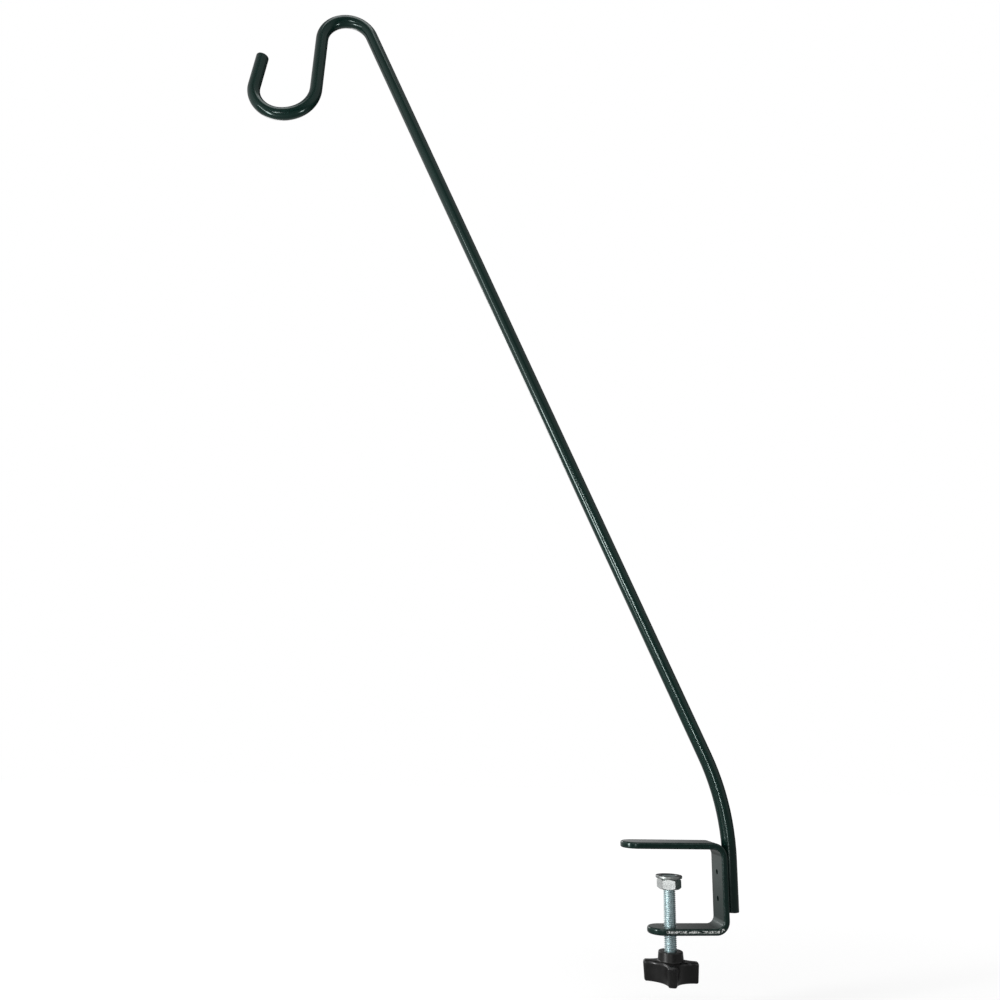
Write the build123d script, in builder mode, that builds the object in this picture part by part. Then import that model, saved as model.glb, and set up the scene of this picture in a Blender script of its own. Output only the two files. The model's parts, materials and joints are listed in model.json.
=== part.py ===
"""Deck rail hook: a bent steel rod welded to a C clamp, with a screw worked by a four-lobed knob.

Millimetres, +Z up. The origin is on the clamp screw's axis, in the face of the upper jaw that rests
on the rail. +X points from the screw to the clamp's back wall, and the hook hangs out over -X.
"""
import os
from math import cos, pi, radians, sin, tan

from build123d import *

os.makedirs("parts", exist_ok=True)

# General fits and cutting allowances
overrun = 2.0
weld_root_gap = 0.3
thread_clearance = 0.05
moulding_clearance = 0.1
swivel_play = 0.2

# Round rod, listed from its welded foot to the tip of the hook
rod_radius = 6.0
rod_end_chamfer = 0.6
lean_bend_radius = 193.0
run_length = 759.5
crook_radius = 25.3
neck_length = 59.0
heel_radius = 34.0
toe_radius = 25.0
tip_length = 34.6
lean_angle = 25.2
neck_lean = 1.2
saddle_slope = 2.2
tip_lean = 7.7
lean_bend_below_seat = 9.2
rod_foot_below_seat = 48.6

# Clamp bracket, a flat bar bent to a C
bar_width = 25.0
bar_thickness = 5.0
bar_inner_bend = 6.0
bar_edge_chamfer = 0.5
throat_height = 59.0
screw_to_wall = 41.0
upper_jaw_reach = 40.0
lower_jaw_reach = 18.5
tapped_hole_chamfer = 0.6

# Welds that hold the rod to the back wall
plug_radius = 2.0
plug_recess = 1.6
plug_below_seat = 18.2
plug_spacing = 20.2
bead_root_y = 2.4
bead_toe_y = 6.8
bead_height = 3.0
bead_crown = 0.45
bead_end_margin = 4.0

# Clamp bolt and the hexagon nut that stops the washer
bolt_radius = 5.0
bolt_length = 70.0
hex_across_flats = 17.0
bolt_head_height = 6.4
nut_height = 8.0
hex_corner_drop = 1.3
hex_face_share = 0.95
nut_bore_chamfer = 0.7
nut_turn = 11.6

# Loose washer held under the peened end of the bolt
washer_radius = 10.7
washer_thickness = 2.0
washer_hole_radius = 5.3
washer_edge_chamfer = 0.3
washer_below_seat = 21.0
countersink_depth = 1.3
peen_flare = 0.8
peen_rim = 0.2
peen_recess = 0.4

# Moulded knob with four lobes
lobe_count = 4
knob_radius = 22.0
lobe_tip_width = 8.4
lobe_height = 15.2
lobe_draft = 3.5
lobe_corner_radius = 2.4
lobe_edge_chamfer = 0.9
hub_height = 7.0
hub_top_radius = 9.75
hub_draft = 3.7
hub_edge_chamfer = 0.6
hub_shoulder = 2.6
head_pocket_recess = 1.4
core_inner_wall = 2.3
core_outer_wall = 1.9
core_width = 3.0
core_depth = 11.0
knob_turn = -15.4

# Places that follow from the sizes above
wall_outer_x = screw_to_wall + bar_thickness
rod_axis_x = wall_outer_x + weld_root_gap + rod_radius
bar_outer_bend = bar_inner_bend + bar_thickness
lower_jaw_top_z = -throat_height
lower_jaw_bottom_z = lower_jaw_top_z - bar_thickness
upper_plug_z = -plug_below_seat
lower_plug_z = upper_plug_z - plug_spacing
washer_top_z = -washer_below_seat
washer_bottom_z = washer_top_z - washer_thickness
bolt_end_z = washer_top_z - peen_recess
nut_top_z = washer_bottom_z - swivel_play
nut_bottom_z = nut_top_z - nut_height
head_top_z = bolt_end_z - bolt_length
head_bottom_z = head_top_z - bolt_head_height
knob_bottom_z = head_bottom_z - head_pocket_recess
lobe_top_z = knob_bottom_z + lobe_height
hub_top_z = lobe_top_z + hub_height


def export(piece, name):
    """Label a finished piece and write it as its own node."""
    piece.part.label = name
    export_step(piece.part, f"parts/{name}.step")


def hexagon(across_flats, bottom_z, height, turn):
    """Plain hexagon prism about the Z axis, with a flat facing the angle turn."""
    with BuildPart() as prism:
        with BuildSketch(Plane.XY.offset(bottom_z)):
            RegularPolygon(radius=across_flats / 3**0.5, side_count=6, rotation=turn + 30)
        extrude(amount=height)
    return prism.part


def corner_ring(across_flats, face_z, drop):
    """Ring whose cone turns the corners off a hexagon at one of its faces."""
    corner_radius = across_flats / 3**0.5
    with BuildPart() as ring:
        with BuildSketch(Plane.XZ):
            with BuildLine():
                Polyline(
                    (across_flats / 2 * hex_face_share, face_z),
                    (corner_radius + overrun, face_z),
                    (corner_radius + overrun, face_z + drop),
                    (corner_radius, face_z + drop),
                    close=True,
                )
            make_face()
        revolve(axis=Axis.Z)
    return ring.part


# Hook rod, one bar swept along a chain of tangent lines and arcs
with BuildPart() as hook_rod:
    with BuildLine(Plane.XZ) as rod_route:
        leg = Line((rod_axis_x, -rod_foot_below_seat), (rod_axis_x, -lean_bend_below_seat))
        lean_bend = JernArc(leg @ 1, leg % 1, lean_bend_radius, lean_angle)
        run = PolarLine(lean_bend @ 1, run_length, direction=lean_bend % 1)
        crook = JernArc(run @ 1, run % 1, crook_radius, 180 - lean_angle - neck_lean)
        neck = PolarLine(crook @ 1, neck_length, direction=crook % 1)
        heel = JernArc(neck @ 1, neck % 1, heel_radius, neck_lean + saddle_slope - 90)
        toe = JernArc(heel @ 1, heel % 1, toe_radius, -90 - saddle_slope - tip_lean)
        tip = PolarLine(toe @ 1, tip_length, direction=toe % 1)
    with BuildSketch(Plane(origin=(rod_axis_x, 0, -rod_foot_below_seat), z_dir=(0, 0, 1))):
        Circle(rod_radius)
    sweep()
    chamfer(hook_rod.faces().filter_by(GeomType.PLANE).edges(), length=rod_end_chamfer)
export(hook_rod, "hook_rod")


# Clamp bracket, a C drawn from the side with over-long jaws that are then trimmed round
with BuildPart() as clamp_bracket:
    with BuildSketch(Plane.XZ):
        with BuildLine():
            Polyline(
                (-upper_jaw_reach - overrun, 0),
                (-upper_jaw_reach - overrun, bar_thickness),
                (wall_outer_x, bar_thickness),
                (wall_outer_x, lower_jaw_bottom_z),
                (-lower_jaw_reach - overrun, lower_jaw_bottom_z),
                (-lower_jaw_reach - overrun, lower_jaw_top_z),
                (screw_to_wall, lower_jaw_top_z),
                (screw_to_wall, 0),
                close=True,
            )
        make_face()
    extrude(amount=bar_width / 2, both=True)
    bend_lines = clamp_bracket.edges().filter_by(Axis.Y).sort_by(Axis.X)
    fillet(bend_lines[-2:], radius=bar_outer_bend)
    bend_lines = clamp_bracket.edges().filter_by(Axis.Y).filter_by_position(
        Axis.X, screw_to_wall - weld_root_gap, screw_to_wall + weld_root_gap
    )
    fillet(bend_lines, radius=bar_inner_bend)
    for jaw_reach, jaw_bottom_z in ((upper_jaw_reach, 0), (lower_jaw_reach, lower_jaw_bottom_z)):
        with BuildSketch(Plane(origin=(bar_width / 2 - jaw_reach, 0, jaw_bottom_z), z_dir=(0, 0, 1))):
            Rectangle(bar_width / 2 + 2 * overrun, bar_width + 2 * overrun, align=(Align.MAX, Align.CENTER))
            Circle(bar_width / 2, mode=Mode.SUBTRACT)
        extrude(amount=bar_thickness, mode=Mode.SUBTRACT)
    long_edges = clamp_bracket.edges().filter_by(Axis.Y, reverse=True)
    long_edges = long_edges.filter_by(lambda edge: edge.length > bar_thickness + overrun)
    chamfer(long_edges, length=bar_edge_chamfer)
    with BuildSketch(Plane.XZ):
        hole_radius = bolt_radius + thread_clearance
        flare_radius = hole_radius + tapped_hole_chamfer + overrun
        with BuildLine():
            Polyline(
                (0, lower_jaw_top_z + overrun),
                (flare_radius, lower_jaw_top_z + overrun),
                (hole_radius, lower_jaw_top_z - tapped_hole_chamfer),
                (hole_radius, lower_jaw_bottom_z + tapped_hole_chamfer),
                (flare_radius, lower_jaw_bottom_z - overrun),
                (0, lower_jaw_bottom_z - overrun),
                close=True,
            )
        make_face()
    revolve(axis=Axis.Z, mode=Mode.SUBTRACT)
    with BuildSketch(Plane.YZ.offset(screw_to_wall - overrun)):
        with Locations((0, upper_plug_z), (0, lower_plug_z)):
            Circle(plug_radius)
    extrude(amount=bar_thickness + 2 * overrun, mode=Mode.SUBTRACT)
export(clamp_bracket, "clamp_bracket")


# Plug welds, filling the two holes in the back wall down to the rod
for name, plug_z in (("plug_weld_upper", upper_plug_z), ("plug_weld_lower", lower_plug_z)):
    with BuildPart() as plug:
        with BuildSketch(Plane(origin=(screw_to_wall + plug_recess, 0, plug_z), z_dir=(1, 0, 0))):
            Circle(plug_radius)
        extrude(amount=bar_thickness - plug_recess + weld_root_gap + overrun)
        with BuildSketch(Plane(origin=(rod_axis_x, 0, plug_z), z_dir=(0, 0, 1))):
            Circle(rod_radius)
        extrude(amount=plug_radius + overrun, both=True, mode=Mode.SUBTRACT)
    export(plug, name)


# Side welds, one bead each side in the corner between the rod and the back wall
bead_bottom_z = bead_end_margin - rod_foot_below_seat
bead_length = rod_foot_below_seat - lean_bend_below_seat - 2 * bead_end_margin
bead_outer_x = wall_outer_x + bead_height
bead_rod_y = (rod_radius**2 - (rod_axis_x - bead_outer_x) ** 2) ** 0.5
for name, side in (("side_weld_front", -1), ("side_weld_rear", 1)):
    with BuildPart() as bead:
        with BuildSketch(Plane.XY.offset(bead_bottom_z)):
            with BuildLine():
                toe_point = (wall_outer_x, side * bead_toe_y)
                rod_point = (bead_outer_x, side * bead_rod_y)
                SagittaArc(toe_point, rod_point, side * bead_crown)
                Polyline(
                    rod_point,
                    (bead_outer_x, side * bead_root_y),
                    (wall_outer_x, side * bead_root_y),
                    toe_point,
                )
            make_face()
            with Locations((rod_axis_x, 0)):
                Circle(rod_radius, mode=Mode.SUBTRACT)
        extrude(amount=bead_length)
    export(bead, name)


# Clamp bolt, its hexagon head down in the knob and its end peened over the washer
with BuildPart() as clamp_bolt:
    add(hexagon(hex_across_flats, head_bottom_z, bolt_head_height, knob_turn))
    add(corner_ring(hex_across_flats, head_bottom_z, hex_corner_drop), mode=Mode.SUBTRACT)
    with BuildSketch(Plane.XZ):
        with BuildLine():
            Polyline(
                (0, head_bottom_z + bolt_head_height / 2),
                (bolt_radius, head_bottom_z + bolt_head_height / 2),
                (bolt_radius, bolt_end_z - peen_rim - peen_flare),
                (bolt_radius + peen_flare, bolt_end_z - peen_rim),
                (bolt_radius + peen_flare, bolt_end_z),
                (0, bolt_end_z),
                close=True,
            )
        make_face()
    revolve(axis=Axis.Z)
export(clamp_bolt, "clamp_bolt")


# Pressure nut, run up the thread to carry the washer
with BuildPart() as pressure_nut:
    add(hexagon(hex_across_flats, nut_bottom_z, nut_height, nut_turn))
    add(corner_ring(hex_across_flats, nut_bottom_z, hex_corner_drop), mode=Mode.SUBTRACT)
    add(corner_ring(hex_across_flats, nut_top_z, -hex_corner_drop), mode=Mode.SUBTRACT)
    with BuildSketch(Plane.XZ):
        hole_radius = bolt_radius + thread_clearance
        flare_radius = hole_radius + nut_bore_chamfer + overrun
        with BuildLine():
            Polyline(
                (0, nut_top_z + overrun),
                (flare_radius, nut_top_z + overrun),
                (hole_radius, nut_top_z - nut_bore_chamfer),
                (hole_radius, nut_bottom_z + nut_bore_chamfer),
                (flare_radius, nut_bottom_z - overrun),
                (0, nut_bottom_z - overrun),
                close=True,
            )
        make_face()
    revolve(axis=Axis.Z, mode=Mode.SUBTRACT)
export(pressure_nut, "pressure_nut")


# Swivel washer, countersunk so that the peened end stays below the face that meets the rail
with BuildPart() as swivel_washer:
    with BuildSketch(Plane.XZ) as washer_section:
        with BuildLine():
            Polyline(
                (washer_hole_radius, washer_bottom_z),
                (washer_radius, washer_bottom_z),
                (washer_radius, washer_top_z),
                (washer_hole_radius + countersink_depth, washer_top_z),
                (washer_hole_radius, washer_top_z - countersink_depth),
                close=True,
            )
        make_face()
        chamfer(washer_section.vertices().group_by(Axis.X)[-1], length=washer_edge_chamfer)
    revolve(axis=Axis.Z)
export(swivel_washer, "swivel_washer")


# Star knob, with drafted lobes, hollowed between them by arcs that leave the tips the asked width
hub_base_radius = hub_top_radius + hub_height * tan(radians(hub_draft))
valley_radius = hub_base_radius + hub_shoulder
tip_half = lobe_tip_width / 2
tip_reach = (knob_radius**2 - tip_half**2) ** 0.5
tip_on_valley_line = tip_reach * cos(pi / lobe_count) + tip_half * sin(pi / lobe_count)
valley_centre = (knob_radius**2 - valley_radius**2) / (2 * (tip_on_valley_line - valley_radius))
draft_inset = lobe_height * tan(radians(lobe_draft))
pocket_flats = hex_across_flats + 2 * moulding_clearance
core_start = pocket_flats / 3**0.5 + core_inner_wall
core_end = knob_radius - draft_inset - core_outer_wall
with BuildPart() as star_knob:
    with BuildSketch(Plane.XY.offset(lobe_top_z)) as star:
        Circle(knob_radius)
        with PolarLocations(valley_centre, lobe_count, start_angle=knob_turn + 180 / lobe_count):
            Circle(valley_centre - valley_radius, mode=Mode.SUBTRACT)
        fillet(star.vertices(), radius=lobe_corner_radius)
    extrude(amount=-lobe_height, taper=lobe_draft)
    chamfer(star_knob.faces().filter_by(Axis.Z).edges(), length=lobe_edge_chamfer)
    with BuildSketch(Plane.XZ):
        with BuildLine():
            Polyline(
                (0, lobe_top_z - lobe_height / 2),
                (hub_base_radius, lobe_top_z - lobe_height / 2),
                (hub_base_radius, lobe_top_z),
                (hub_top_radius, hub_top_z),
                (0, hub_top_z),
                close=True,
            )
        make_face()
    revolve(axis=Axis.Z)
    chamfer(star_knob.faces().sort_by(Axis.Z)[-1].edges(), length=hub_edge_chamfer)
    with BuildSketch(Plane.XY.offset(knob_bottom_z)):
        Circle(bolt_radius + moulding_clearance)
    extrude(amount=hub_top_z - knob_bottom_z, mode=Mode.SUBTRACT)
    add(hexagon(pocket_flats, knob_bottom_z, head_top_z - knob_bottom_z, knob_turn), mode=Mode.SUBTRACT)
    with BuildSketch(Plane.XY.offset(knob_bottom_z)):
        with PolarLocations((core_start + core_end) / 2, lobe_count, start_angle=knob_turn):
            SlotOverall(core_end - core_start, core_width)
    extrude(amount=core_depth, mode=Mode.SUBTRACT)
export(star_knob, "star_knob")
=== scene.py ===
"""Looks of the deck rail hook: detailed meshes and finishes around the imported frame, in metres."""
import json
from math import atan2, ceil, cos, hypot, pi, radians, sin, tan

import bmesh
import bpy
from mathutils import Matrix, Vector


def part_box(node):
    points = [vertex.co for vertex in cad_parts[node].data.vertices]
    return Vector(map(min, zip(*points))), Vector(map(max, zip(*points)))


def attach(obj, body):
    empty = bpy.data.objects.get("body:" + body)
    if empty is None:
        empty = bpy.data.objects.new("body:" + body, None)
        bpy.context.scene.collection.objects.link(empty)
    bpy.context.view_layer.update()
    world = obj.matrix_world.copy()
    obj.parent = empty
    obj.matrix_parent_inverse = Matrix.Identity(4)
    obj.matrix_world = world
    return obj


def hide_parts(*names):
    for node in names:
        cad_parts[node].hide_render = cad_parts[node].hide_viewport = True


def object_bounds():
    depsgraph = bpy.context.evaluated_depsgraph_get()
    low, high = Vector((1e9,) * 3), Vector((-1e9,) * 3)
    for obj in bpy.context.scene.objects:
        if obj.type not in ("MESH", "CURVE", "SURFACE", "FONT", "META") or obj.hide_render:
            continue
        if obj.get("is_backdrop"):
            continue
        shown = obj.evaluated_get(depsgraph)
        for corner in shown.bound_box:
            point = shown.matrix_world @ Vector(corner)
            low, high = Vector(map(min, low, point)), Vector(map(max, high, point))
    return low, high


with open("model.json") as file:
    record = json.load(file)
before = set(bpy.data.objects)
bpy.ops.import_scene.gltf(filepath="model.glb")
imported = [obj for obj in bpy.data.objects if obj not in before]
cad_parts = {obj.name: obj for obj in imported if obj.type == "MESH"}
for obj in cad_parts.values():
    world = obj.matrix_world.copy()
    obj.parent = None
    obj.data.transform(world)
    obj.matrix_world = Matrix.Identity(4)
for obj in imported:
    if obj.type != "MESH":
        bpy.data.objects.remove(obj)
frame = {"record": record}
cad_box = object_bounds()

mm = 0.001
scene = bpy.context.scene

# Round rod, with its angles in degrees
rod_radius = 6.0 * mm
rod_end_rounding = 0.7 * mm
rod_end_inner_share = 0.6
rod_axis_x = 52.3 * mm
lean_bend_radius = 193.0 * mm
crook_radius = 25.3 * mm
heel_radius = 34.0 * mm
toe_radius = 25.0 * mm
foot_length = 39.4 * mm
run_length = 759.5 * mm
neck_length = 59.0 * mm
tip_length = 34.6 * mm
lean_angle = 25.2
neck_lean = 1.2
saddle_slope = 2.2
tip_lean = 7.7
rod_sides = 56
rod_end_steps = 4
degrees_per_ring = 2.5

# Clamp bracket
bar_half_width = 12.5 * mm
bar_half_thickness = 2.5 * mm
bar_inner_bend = 6.0 * mm
bar_edge_radius = 1.5 * mm
throat_height = 59.0 * mm
screw_to_wall = 41.0 * mm
upper_jaw_reach = 40.0 * mm
lower_jaw_reach = 18.5 * mm
tapped_hole_radius = 5.05 * mm
tapped_hole_chamfer = 0.6 * mm
bend_steps = 12
jaw_end_steps = 14
bar_edge_steps = 6
hole_sides = 40

# Windows in the bar's flats, from a hole's centre as shares of its mouth's radius
tapped_window_share = 1.3
plug_window_share = 2

# The bar's length from the upper jaw's tip: where the bends, the wall and the lower jaw begin
bend_x = screw_to_wall - bar_inner_bend
bend_middle_radius = bar_inner_bend + bar_half_thickness
bend_run = bend_middle_radius * pi / 2
upper_bend_s = upper_jaw_reach + bend_x
wall_s = upper_bend_s + bend_run
lower_bend_s = wall_s + throat_height - 2 * bar_inner_bend
lower_jaw_s = lower_bend_s + bend_run
bar_length = lower_jaw_s + lower_jaw_reach + bend_x

# Scratched line along the middle of the lower jaw's front side, from the bend to the round end: unpainted
# steel, painted light enough to also stand in for the glint along that edge, a painted highlight
scrape_glint_bend_share = 0.45
scrape_glint_start_s = lower_jaw_s - scrape_glint_bend_share * bend_run
scrape_glint_tip_gap = 11.9 * mm
scrape_glint_end_s = bar_length - scrape_glint_tip_gap
scrape_glint_rise = 1.2 * mm
scrape_glint_drop = 0.6 * mm
scrape_glint_strength = 0.9

# Plug welds
plug_radius = 2.0 * mm
plug_recess = 1.6 * mm
plug_depth = 3.3 * mm
plug_upper_z = -18.2 * mm
plug_lower_z = -38.4 * mm
plug_dish = 0.33 * mm
plug_centre_dish = 0.3 * mm
plug_ripple = 0.10 * mm
plug_ripple_waves = 2.5
plug_rings = 10
plug_sides = 32

# Side weld beads
bead_root_y = 2.4 * mm
bead_toe_y = 6.8 * mm
bead_height = 3.0 * mm
bead_crown = 0.45 * mm
bead_ripple_pitch = 1.9 * mm
bead_ripple_lag = 0.35 * mm
bead_ripple_share = 0.55
bead_blunt_share = 0.02
bead_steps = 120
bead_crown_steps = 8

# Bolt and its thread, with the flats of the thread as shares of its pitch
bolt_radius = 5.0 * mm
bolt_head_height = 6.4 * mm
thread_pitch = 1.5 * mm
thread_depth = 0.92 * mm
thread_root_share = 1 / 4
thread_crest_share = 1 / 8
thread_top_gap = 1.4 * mm
thread_bottom_gap = 2.0 * mm
thread_runout = 0.6 * mm
shank_sink = 1.0 * mm
thread_columns = 60
spare_turns = 2
hex_across_flats = 17.0 * mm
hex_corner_drop = 1.3 * mm
hex_cone_share = 0.95
hex_inset_share = 0.98
hex_steps = 96

# Peened end: shares of flare and depth over its rim, then of bolt radius and depth over its dish
peen_flare = 0.8 * mm
peen_depth = 1.0 * mm
peen_centre_depth = 0.3 * mm
peen_rim_shares = ((0, 1), (1, 0.25), (0.9, 0.08), (0.4, 0))
peen_dish_shares = ((0.62, 0.06), (0.5, 0.25))

# Nut and washer
nut_bore_radius = 5.05 * mm
nut_bore_flare = 0.7 * mm
nut_turn = radians(11.6)
washer_hole_radius = 5.3 * mm
washer_countersink = 1.3 * mm
washer_rounding = 0.45 * mm
washer_face_depth = washer_rounding / 20
washer_steps = 6
washer_sides = 96

# Star knob, with its draft in degrees
lobe_count = 4
knob_radius = 22.0 * mm
valley_radius = 12.8 * mm
lobe_tip_width = 8.4 * mm
lobe_height = 15.2 * mm
lobe_draft = 3.5
lobe_corner_radius = 2.4 * mm
lobe_top_rounding = 2.2 * mm
lobe_bottom_rounding = 1.4 * mm
hub_top_radius = 9.75 * mm
hub_base_radius = 10.2 * mm
hub_rounding = 0.7 * mm
hub_root_rounding = 0.8 * mm
pocket_across_flats = 17.2 * mm
knob_bore_radius = 5.1 * mm
knob_bore_chamfer = 0.4 * mm
core_inner_reach = 12.2 * mm
core_outer_reach = 19.2 * mm
core_width = 3.0 * mm
core_depth = 11.0 * mm
knob_turn = radians(-15.4)
valley_steps = 13
corner_steps = 9
tip_steps = 5
lobe_rim_steps = 6
hub_root_steps = 4
hub_rim_steps = 5
lobe_top_shares = (0.25, 0.5, 0.75)
core_end_steps = 10

# Distances below which vertices are the same, and how far over its root the thread may end
merge_distance = 0.001 * mm
thread_merge_distance = 0.002 * mm
thread_slack = 0.01 * mm

# Finishes: noise as cells per metre and detail, spans of noise values, bumps as height and strength
noise_roughness = 0.55
tint_span = (0.35, 0.65)
gloss_span = (0.3, 0.7)

coat_tints = ((0.0018, 0.0118, 0.0092), (0.0022, 0.0130, 0.0102))
coat_rubbed = (0.02, 0.03, 0.028)
# Unpainted steel of the scratched line, also a painted highlight for the edge's glint
coat_bare_steel_glint = (0.74, 0.76, 0.74)
coat_sheen = (0.82, 1.0, 0.96)
coat_specular = 0.36
coat_roughness = (0.16, 0.19)
coat_patches = (45, 4)
coat_peel = (800, 2)
coat_peel_bump = (0.006 * mm, 0.35)
coat_grain = (2600, 3)
coat_grain_bump = (0.0015 * mm, 0.3)
coat_wear = (260, 5)
coat_wear_span = (0.42, 0.62)
# Noise that breaks up the scratched line with its painted highlight
coat_scrape_glint_noise = (900, 3)
coat_scrape_glint_span = (0.46, 0.54)

# Dark tints of the coat on the plug welds: painted shade in the plug holes
weld_shade_tints = ((0.0016, 0.0030, 0.0026), (0.0030, 0.0050, 0.0045))
weld_specular = 0.12
weld_roughness = (0.55, 0.75)
weld_scale = (900, 4)
weld_scale_bump = (0.05 * mm, 0.5)

zinc_clouds = (420, 5)
zinc_clouds_bump = (0.015 * mm, 0.4)
zinc_specks = (1900, 3)
zinc_specks_span = (0.60, 0.68)
zinc_specks_bump = (0.010 * mm, 0.4)
zinc_speck_colour = (0.33, 0.35, 0.36)

# Zinc plate by name: dull tint, bright tint, roughness, and the tint of painted shade in thread roots and
# on the washer's top face
zinc_plates = {
    "blue_zinc_plate": ((0.62, 0.76, 0.77), (0.78, 0.92, 0.92), (0.36, 0.50), (0.46, 0.55, 0.57)),
    "clear_zinc_plate": ((0.68, 0.71, 0.70), (0.80, 0.83, 0.82), (0.26, 0.32), (0.46, 0.55, 0.57)),
    # The washer's plate: dull zinc, made darker to stand partly for the shade and dark reflection on the
    # washer
    "dull_zinc_plate_shaded": ((0.26, 0.28, 0.27), (0.40, 0.43, 0.42), (0.28, 0.44), (0.14, 0.15, 0.15)),
}

plastic_tints = ((0.0030, 0.0030, 0.0032), (0.0060, 0.0060, 0.0057))
plastic_rubbed = (0.035, 0.035, 0.037)
plastic_specular = 0.35
plastic_roughness = (0.25, 0.38)
plastic_flow = (90, 4)
plastic_flow_bump = (0.15 * mm, 0.3)
plastic_grain = (2400, 2)
plastic_grain_bump = (0.02 * mm, 0.4)
plastic_wear = (340, 4)
plastic_wear_span = (0.45, 0.65)

# Camera, at the photograph's viewing angle: angles in radians and the sensor's width in mm
camera_place = Vector((-245.79, -736.80, 85.77)) * mm
camera_yaw = 0.1335
camera_pitch = 0.2636
camera_roll = 0.0263
image_width_px = 1000
focal_length_px = 870
sensor_width = 36

# Floor, below the lowest point that the knob reaches; its glow runs from near to far
knob_travel_down = 27.5 * mm
floor_gap = 1.0 * mm
floor_half_size = 3.0
floor_albedo = 0.36
floor_roughness = 0.9
floor_glow = (0.69, 0.85)
floor_glow_reach = (0.2, 1.0)
floor_mirrored_glow = (0.05, 0.42)
floor_mirrored_heading = (-0.35, 0.94, 0.0)
floor_mirrored_reach = (0.45, 0.8)

# Surround: its level for diffuse light, and the bright sides that only mirrors see
# Each side has its heading, a span of how far a direction points that way, and two levels
ambient_level = 0.4
mirrored_room = (
    ((-0.25, 0.95, -0.1), (0.745, 0.93), (0, 0.95)),
    ((-1.0, 0.0, -0.3), (-0.2, 0.8), (0.04, 1.0)),
    ((0.65, -0.45, 0.6), (0.6, 0.85), (0, 0.6)),
)

# Lamps: name, place, target and size in mm, power in W, and the beam's width in degrees
lamps = (
    ("left_low", (-727, -296, 97), (-90, 0, 97), (110, 373), 4.6, 180),
    ("left_high", (-727, -296, 440), (-200, 0, 440), (60, 315), 0.87, 180),
    ("right", (560, -410, 20), (-330, 0, 700), (150, 150), 0.14, 40),
    ("front", (-575, -1180, 230), (-330, 0, 700), (260, 260), 0.12, 30),
    ("front_low", (-185, -569, 0), (0, 0, -50), (160, 160), 0.013, 40),
    ("above", (-350, -700, 2600), (-150, 0, 300), (1400, 1400), 18, 180),
    ("behind", (-700, 1300, 600), (-100, 0, 300), (500, 500), 3.9, 180),
)

# Strip lamps along the rod: name, both ends and the beam's heading in mm, power and beam as above
strips = (
    ("front_strip", (-335, -405, 248), (-160, -449, -18), (227.7, 426.5, 79.1), 0.055, 28),
    ("front_strip_end", (-146, -452, -44), (-117, -459, -96), (182, 451, 157), 0.0046, 20),
)
strip_width = 30


def link(name, bm, sharp_angle):
    """Make an object from a bmesh, smooth but for edges sharper than the angle in degrees."""
    bmesh.ops.recalc_face_normals(bm, faces=bm.faces)
    mesh = bpy.data.meshes.new(name)
    bm.to_mesh(mesh)
    bm.free()
    mesh.shade_smooth()
    mesh.set_sharp_from_angle(angle=radians(sharp_angle))
    piece = bpy.data.objects.new(name, mesh)
    scene.collection.objects.link(piece)
    return piece


def dress(piece, material, slot, *nodes):
    """Give a piece its finish and let it stand for CAD nodes of one body, which it rides on."""
    piece.data.materials.append(material)
    weights = piece.modifiers.new("weighted_normals", "WEIGHTED_NORMAL")
    weights.keep_sharp = True
    bodies = frame["record"]["behaviour"]["bodies"]
    body = next(name for name, members in bodies.items() if nodes[0] in members)
    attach(piece, body)
    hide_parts(*nodes)


def bridge(bm, rings):
    """Join rings of equally many vertices by quads, one after the other."""
    for lower, upper in zip(rings, rings[1:]):
        count = len(lower)
        for i in range(count):
            j = (i + 1) % count
            bm.faces.new((lower[i], lower[j], upper[j], upper[i]))


def ring(bm, radius, z, sides, turn=0.0):
    """Level circle of vertices about the Z axis."""
    angles = [turn + 2 * pi * i / sides for i in range(sides)]
    return [bm.verts.new((radius * cos(a), radius * sin(a), z)) for a in angles]


def cap(bm, rim, point):
    """Close a ring with a fan to one point."""
    centre = bm.verts.new(point)
    for i in range(len(rim)):
        bm.faces.new((rim[i], rim[(i + 1) % len(rim)], centre))


def fill(bm, loops):
    """Fill the flat region between closed loops of vertices, the first loop being the outer one."""
    edges = []
    for loop in loops:
        for a, b in zip(loop, loop[1:] + loop[:1]):
            edges.append(bm.edges.get((a, b)) or bm.edges.new((a, b)))
    bmesh.ops.triangle_fill(bm, use_beauty=True, use_dissolve=False, edges=edges)


def wear_along(steps):
    """Wear over a rounded edge: none where it meets the flats, most in its middle."""
    return [sin(pi * i / steps) for i in range(steps + 1)]


def quarter_arc(centre, radius, start_degrees, steps):
    """Points of a quarter circle in a plane, counter-clockwise from the start angle."""
    angles = [radians(start_degrees + 90 * i / steps) for i in range(steps + 1)]
    return [(centre[0] + radius * cos(a), centre[1] + radius * sin(a)) for a in angles]


def principled(name):
    """New material, with its node tree and its Principled shader."""
    material = bpy.data.materials.new(name)
    material.use_nodes = True
    tree = material.node_tree
    return material, tree, tree.nodes["Principled BSDF"]


def noise(tree, cells, detail):
    """Noise in the piece's own metres."""
    place = tree.nodes.new("ShaderNodeTexCoord")
    texture = tree.nodes.new("ShaderNodeTexNoise")
    texture.inputs["Scale"].default_value = cells
    texture.inputs["Detail"].default_value = detail
    texture.inputs["Roughness"].default_value = noise_roughness
    tree.links.new(place.outputs["Object"], texture.inputs["Vector"])
    return texture.outputs["Fac"]


def remap(tree, value, span, levels):
    """Value stretched from a span to two levels, and clamped."""
    node = tree.nodes.new("ShaderNodeMapRange")
    for name, number in zip(("From Min", "From Max", "To Min", "To Max"), (*span, *levels)):
        node.inputs[name].default_value = number
    tree.links.new(value, node.inputs["Value"])
    return node.outputs["Result"]


def mask(tree, value, span):
    """Value stretched from a span to between 0 and 1."""
    return remap(tree, value, span, (0, 1))


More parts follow.
